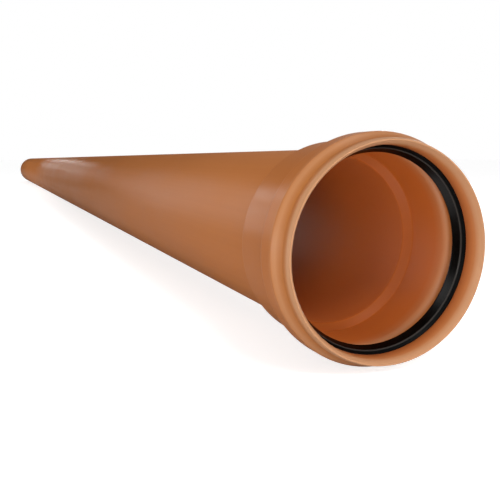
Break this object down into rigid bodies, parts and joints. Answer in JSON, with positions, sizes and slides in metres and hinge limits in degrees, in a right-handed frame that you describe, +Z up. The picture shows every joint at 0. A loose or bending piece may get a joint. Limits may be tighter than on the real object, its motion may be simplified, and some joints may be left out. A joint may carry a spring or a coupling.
{
  "type": "drain pipe",
  "caption": "Straight terracotta-coloured plastic drain pipe with a belled socket, a rubber lip seal held in the socket's bead and a chamfered spigot, for underground gravity drains.",
  "frame": {"origin": "on the floor under the middle of the pipe's length", "axes": "+Z up, +X along the pipe towards the socket's mouth; the axis rises by 0.16 degrees towards the socket, because the pipe lies on its bead and on its spigot end"},
  "size_m": [3.0623, 0.1274, 0.1272],
  "materials": {
    "pvc": "satin extruded orange-brown PVC-U",
    "seal_rubber": "matt black moulded rubber"
  },
  "bodies": {
    "root": {"pipe": "pvc", "seal_ring": "seal_rubber"}
  },
  "joints": []
}
